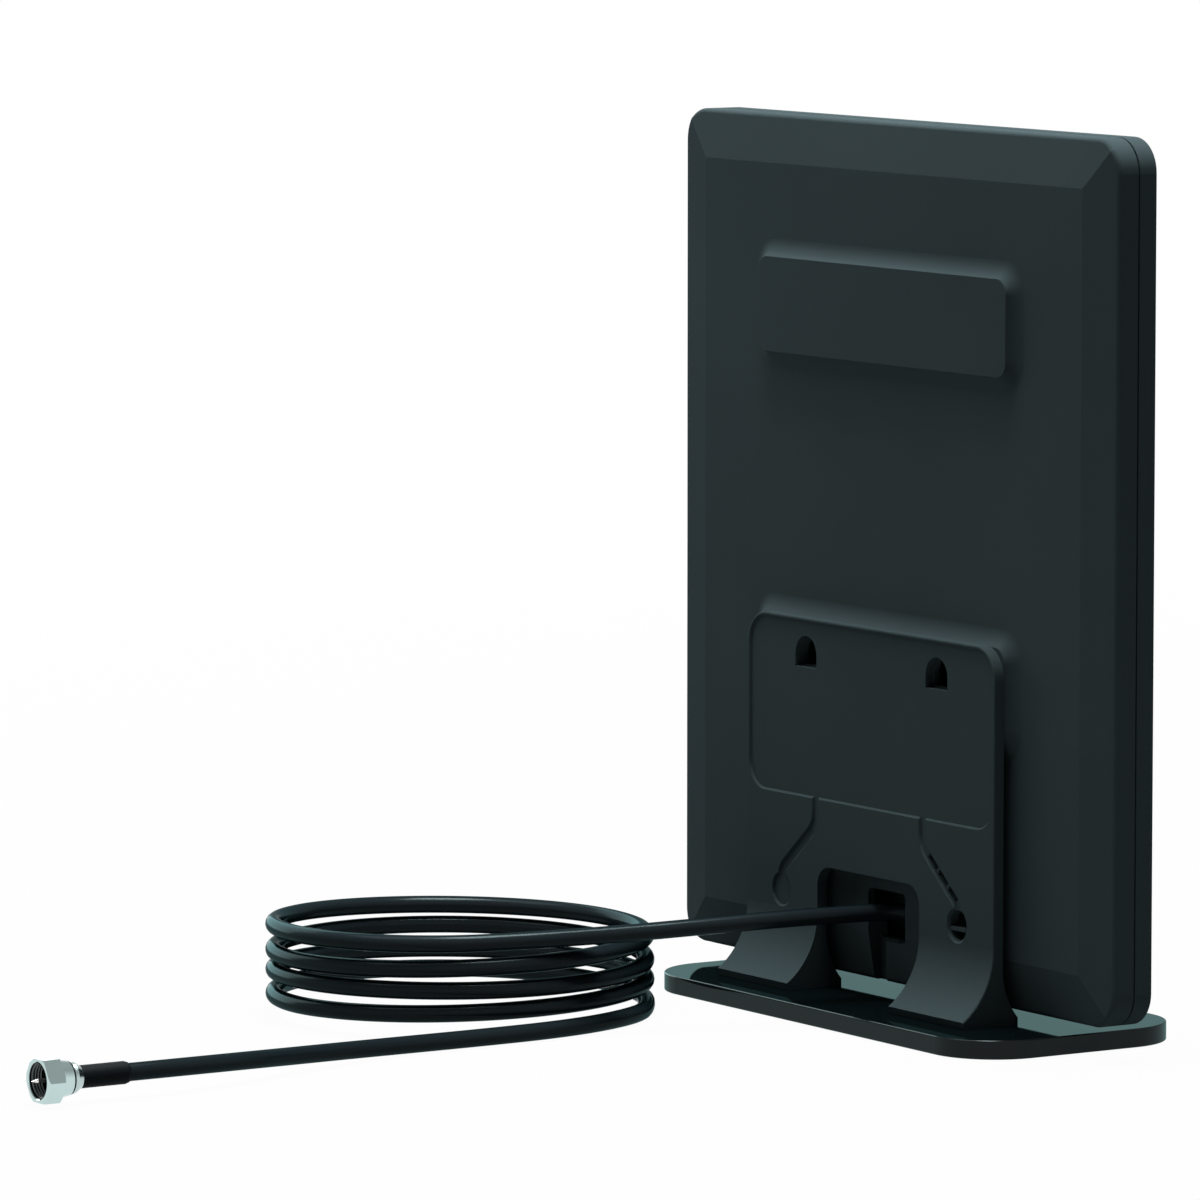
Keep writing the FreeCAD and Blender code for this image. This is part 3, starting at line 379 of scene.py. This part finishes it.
plasticTexture = {"driftScale": 14.0, "patchScale": 26.0, "grainDepth": 0.00006}
plastics = {
    "shellPlastic": {"dark": (0.028, 0.040, 0.043), "light": (0.031, 0.044, 0.047), "rough": (0.56, 0.66),
                     "specular": 0.0, "grain": 2600.0, "bump": 0.3},
    "bracketPlastic": {"dark": (0.027, 0.039, 0.042), "light": (0.030, 0.043, 0.046), "rough": (0.54, 0.64),
                       "specular": 0.0, "grain": 2600.0, "bump": 0.25},
    "baseGloss": {"dark": (0.0090, 0.0086, 0.0095), "light": (0.0110, 0.0104, 0.0115), "rough": (0.03, 0.05),
                  "specular": 0.2, "grain": 900.0, "bump": 0.005},
    "footRubber": {"dark": (0.018, 0.018, 0.019), "light": (0.03, 0.03, 0.031), "rough": (0.75, 0.9),
                   "specular": 0.1, "grain": 1800.0, "bump": 0.5},
    "cableJacket": {"dark": (0.015, 0.017, 0.020), "light": (0.018, 0.020, 0.023), "rough": (0.17, 0.22),
                    "specular": 0.08, "grain": 1500.0, "bump": 0.03},
    "sleeveRubber": {"dark": (0.002, 0.0036, 0.0046), "light": (0.003, 0.0048, 0.006), "rough": (0.5, 0.62),
                     "specular": 0.04, "grain": 2200.0, "bump": 0.3},
    "boardLaminate": {"dark": (0.015, 0.10, 0.045), "light": (0.03, 0.16, 0.07), "rough": (0.3, 0.42),
                      "specular": 0.5, "grain": 1200.0, "bump": 0.15},
    "ferriteCore": {"dark": (0.035, 0.035, 0.038), "light": (0.06, 0.06, 0.062), "rough": (0.6, 0.75),
                    "specular": 0.5, "grain": 1500.0, "bump": 0.4},
}


def plasticFinish(name, look, texture):
    material, nodes, links, shader = newMaterial(name)
    grain = placeGroup(nodes, grainGroup, {"Grain Scale": look["grain"],
                                           "Drift Scale": texture["driftScale"]})
    marks = placeGroup(nodes, marksGroup, {"Patch Scale": texture["patchScale"]})
    drift = stretchRange(nodes, links, grain.outputs["Drift"], 0, 1)
    paintBetween(nodes, links, drift, look, shader)
    rough = stretchRange(nodes, links, marks.outputs["Patches"], *look["rough"])
    links.new(rough, shader.inputs["Roughness"])
    shader.inputs["Specular IOR Level"].default_value = look["specular"]
    bumpFrom(nodes, links, grain.outputs["Grain"], texture["grainDepth"], look["bump"], shader)
    return material


metalTexture = {"patchScale": 160.0, "lineDepth": 0.00001, "bump": 0.08}
metals = {
    "connectorNickel": {"dark": (0.46, 0.57, 0.565), "light": (0.51, 0.62, 0.615), "rough": (0.18, 0.25),
                        "line": 900.0},
    "nutNickel": {"dark": (0.50, 0.65, 0.64), "light": (0.54, 0.69, 0.68), "rough": (0.08, 0.14),
                  "line": 900.0},
    # Darker copy of the nut's nickel for the thread inside the bore: painted shade where light hardly
    # reaches
    "boreNickelPaintedShade": {"dark": (0.055, 0.065, 0.067), "light": (0.085, 0.095, 0.098), "rough": (0.25, 0.35),
                   "line": 900.0},
    "tinnedSteel": {"dark": (0.52, 0.53, 0.53), "light": (0.68, 0.68, 0.67), "rough": (0.28, 0.42),
                    "line": 500.0},
    "screwSteel": {"dark": (0.38, 0.39, 0.4), "light": (0.56, 0.56, 0.57), "rough": (0.25, 0.4),
                   "line": 800.0},
    "copperStrip": {"dark": (0.62, 0.32, 0.18), "light": (0.8, 0.46, 0.29), "rough": (0.25, 0.38),
                    "line": 600.0},
    "pinMetal": {"dark": (0.8, 0.78, 0.74), "light": (0.92, 0.9, 0.86), "rough": (0.18, 0.3),
                 "line": 900.0},
}


def metalFinish(name, look, texture):
    material, nodes, links, shader = newMaterial(name)
    marks = placeGroup(nodes, marksGroup, {"Patch Scale": texture["patchScale"], "Line Scale": look["line"]})
    cloud = stretchRange(nodes, links, marks.outputs["Patches"], 0, 1)
    paintBetween(nodes, links, cloud, look, shader)
    rough = stretchRange(nodes, links, marks.outputs["Hairlines"], *look["rough"])
    links.new(rough, shader.inputs["Roughness"])
    shader.inputs["Metallic"].default_value = 1.0
    bumpFrom(nodes, links, marks.outputs["Hairlines"], texture["lineDepth"], texture["bump"], shader)
    return material


# Clear skin of the base and the cable: a thin tinted film, darker the flatter it is seen
baseLacquer = {"index": 1.01, "tint": (0.705, 0.814, 0.814)}
jacketSkin = {"index": 1.01, "tint": (0.55, 0.67, 0.68)}


def addSkin(material, look):
    shader = material.node_tree.nodes["Principled BSDF"]
    shader.inputs["Coat Weight"].default_value = 1.0
    shader.inputs["Coat IOR"].default_value = look["index"]
    shader.inputs["Coat Tint"].default_value = (*look["tint"], 1)


# Shade in the nut's threaded bore, which light hardly reaches: within this radius and beyond this start
nutBore = {"start": 262.7, "radius": 4.7, "edge": 0.1, "colour": (0.009, 0.011, 0.013)}


def darkenBore(material, look):
    nodes = material.node_tree.nodes
    links = material.node_tree.links
    colour = nodes["Principled BSDF"].inputs["Base Color"]
    painted = colour.links[0].from_socket
    acrossX, acrossZ = connectorAxis
    mouth = (acrossX * mm, look["start"] * mm, acrossZ * mm)
    radius = look["radius"] * mm
    edge = look["edge"] * mm
    place = nodes.new("ShaderNodeTexCoord").outputs["Object"]
    centred = vectorMath(nodes, links, "SUBTRACT", place, mouth)["Vector"]
    across = vectorMath(nodes, links, "MULTIPLY", centred, (1, 0, 1))["Vector"]
    reach = vectorMath(nodes, links, "LENGTH", across)["Value"]
    around = stretchRange(nodes, links, reach, 0, 1, radius - edge, radius)
    parts = nodes.new("ShaderNodeSeparateXYZ")
    links.new(centred, parts.inputs["Vector"])
    behind = stretchRange(nodes, links, parts.outputs["Y"], 1, 0, -edge, 0.0)
    outside, shade, metal, result = mixNode(nodes, "RGBA")
    shade.default_value = (*look["colour"], 1)
    links.new(combine(nodes, links, "MAXIMUM", around, behind), outside)
    links.new(painted, metal)
    links.new(result, colour)


finishes = {name: plasticFinish(name, look, plasticTexture) for name, look in plastics.items()}
finishes.update({name: metalFinish(name, look, metalTexture) for name, look in metals.items()})
addSkin(finishes["baseGloss"], baseLacquer)
addSkin(finishes["cableJacket"], jacketSkin)
darkenBore(finishes["nutNickel"], nutBore)
print("finishes made:", len(finishes))

nodeFinish = {
    "base_plate": "baseGloss", "rubber_feet": "footRubber", "stand_bracket": "bracketPlastic",
    "rear_cover": "shellPlastic", "front_cover": "shellPlastic", "antenna_board": "boardLaminate",
    "balun_board": "boardLaminate", "shield_can": "tinnedSteel", "balun_core": "ferriteCore",
    "feed_straps": "copperStrip", "cable_clamp": "tinnedSteel", "board_screws": "screwSteel",
    "clamp_screws": "screwSteel", "bracket_screws": "screwSteel", "base_screws": "screwSteel",
    "cable_inner": "cableJacket", "cable_lead": "cableJacket", "cable_coil": "cableJacket",
    "cable_tail": "cableJacket", "cable_sleeve": "sleeveRubber", "connector_body": "connectorNickel",
    "center_pin": "pinMetal", "coupling_nut": "nutNickel",
}
for name, finish in nodeFinish.items():
    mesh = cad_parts[name].data
    mesh.materials.clear()
    mesh.materials.append(finishes[finish])
cord.data.materials.append(finishes["cableJacket"])
thread.data.materials.append(finishes["boreNickelPaintedShade"])
ring.data.materials.append(finishes["sleeveRubber"])
print("finishes given to", len(nodeFinish), "nodes")


def seenDirectly(nodes, links):
    # 1 for what the camera, a reflection or a clear piece shows, 0 for the light that falls on the object
    path = nodes.new("ShaderNodeLightPath").outputs
    seen = combine(nodes, links, "MAXIMUM", path["Is Camera Ray"], path["Is Glossy Ray"])
    return combine(nodes, links, "MAXIMUM", seen, path["Is Transmission Ray"])


# Pale table, in metres: white where it is seen, a little less so near the object, where it keeps the shadow
tableTop = {
    "size": 60.0,
    "drop": 0.0002,
    "colour": (0.2, 0.2, 0.2),
    "rough": 0.9,
    "white": (0.97, 1.0),
    "fade": (0.3, 1.2),
}


def addFloor(look):
    half = look["size"] / 2
    mesh = bpy.data.meshes.new("tableTop")
    corners = [(-half, -half, 0), (half, -half, 0), (half, half, 0), (-half, half, 0)]
    mesh.from_pydata(corners, [], [(0, 1, 2, 3)])
    floor = linked("tableTop", mesh)
    floor.location.z = -look["drop"]
    material, nodes, links, shader = newMaterial("paleTable")
    shader.inputs["Base Color"].default_value = (*look["colour"], 1)
    shader.inputs["Roughness"].default_value = look["rough"]
    shader.inputs["Specular IOR Level"].default_value = 0.0
    white = nodes.new("ShaderNodeEmission")
    place = nodes.new("ShaderNodeTexCoord").outputs["Object"]
    reach = vectorMath(nodes, links, "LENGTH", place)["Value"]
    fade = stretchRange(nodes, links, reach, *look["white"], *look["fade"])
    share = combine(nodes, links, "MULTIPLY", seenDirectly(nodes, links), fade)
    blend = nodes.new("ShaderNodeMixShader")
    links.new(share, blend.inputs["Fac"])
    links.new(shader.outputs["BSDF"], blend.inputs[1])
    links.new(white.outputs["Emission"], blend.inputs[2])
    links.new(blend.outputs["Shader"], nodes["Material Output"].inputs["Surface"])
    mesh.materials.append(material)


# White surroundings, dimmer overhead, that hardly light the object themselves
whiteStudio = {"ambient": 0.02, "horizon": 1.0, "zenith": 0.47, "rise": (0.1, 0.6)}


def addWorld(look):
    world = bpy.data.worlds.new("whiteStudio")
    world.use_nodes = True
    scene.world = world
    nodes = world.node_tree.nodes
    links = world.node_tree.links
    background = nodes["Background"]
    background.inputs["Color"].default_value = (1, 1, 1, 1)
    way = nodes.new("ShaderNodeTexCoord")
    parts = nodes.new("ShaderNodeSeparateXYZ")
    links.new(way.outputs["Generated"], parts.inputs["Vector"])
    sky = stretchRange(nodes, links, parts.outputs["Z"], look["horizon"], look["zenith"], *look["rise"])
    seen, ambient, glow, strength = mixNode(nodes, "FLOAT")
    ambient.default_value = look["ambient"]
    links.new(seenDirectly(nodes, links), seen)
    links.new(sky, glow)
    links.new(strength, background.inputs["Strength"])


# Soft square lamps, in metres and watts, all turned to one point of the object
lampAim = (0.0, 0.05, 0.1)
lamps = {
    "topSoftbox": {"place": (0.28, 0.36, 1.22), "size": 0.8, "power": 9.2},
    "overheadSoftbox": {"place": (0.0, -0.05, 1.4), "size": 0.6, "power": 56.0},
    "leftSoftbox": {"place": (0.95, 0.15, 0.28), "size": 0.9, "power": 11.0},
}


def addLamp(name, look):
    data = bpy.data.lights.new(name, "AREA")
    data.shape = "SQUARE"
    data.size = look["size"]
    data.energy = look["power"]
    lamp = linked(name, data)
    lamp.location = look["place"]
    ahead = Vector(lampAim) - Vector(look["place"])
    lamp.rotation_euler = ahead.to_track_quat("-Z", "Y").to_euler()


addFloor(tableTop)
addWorld(whiteStudio)
for name, look in lamps.items():
    addLamp(name, look)
print("studio lit by", len(lamps), "lamps")
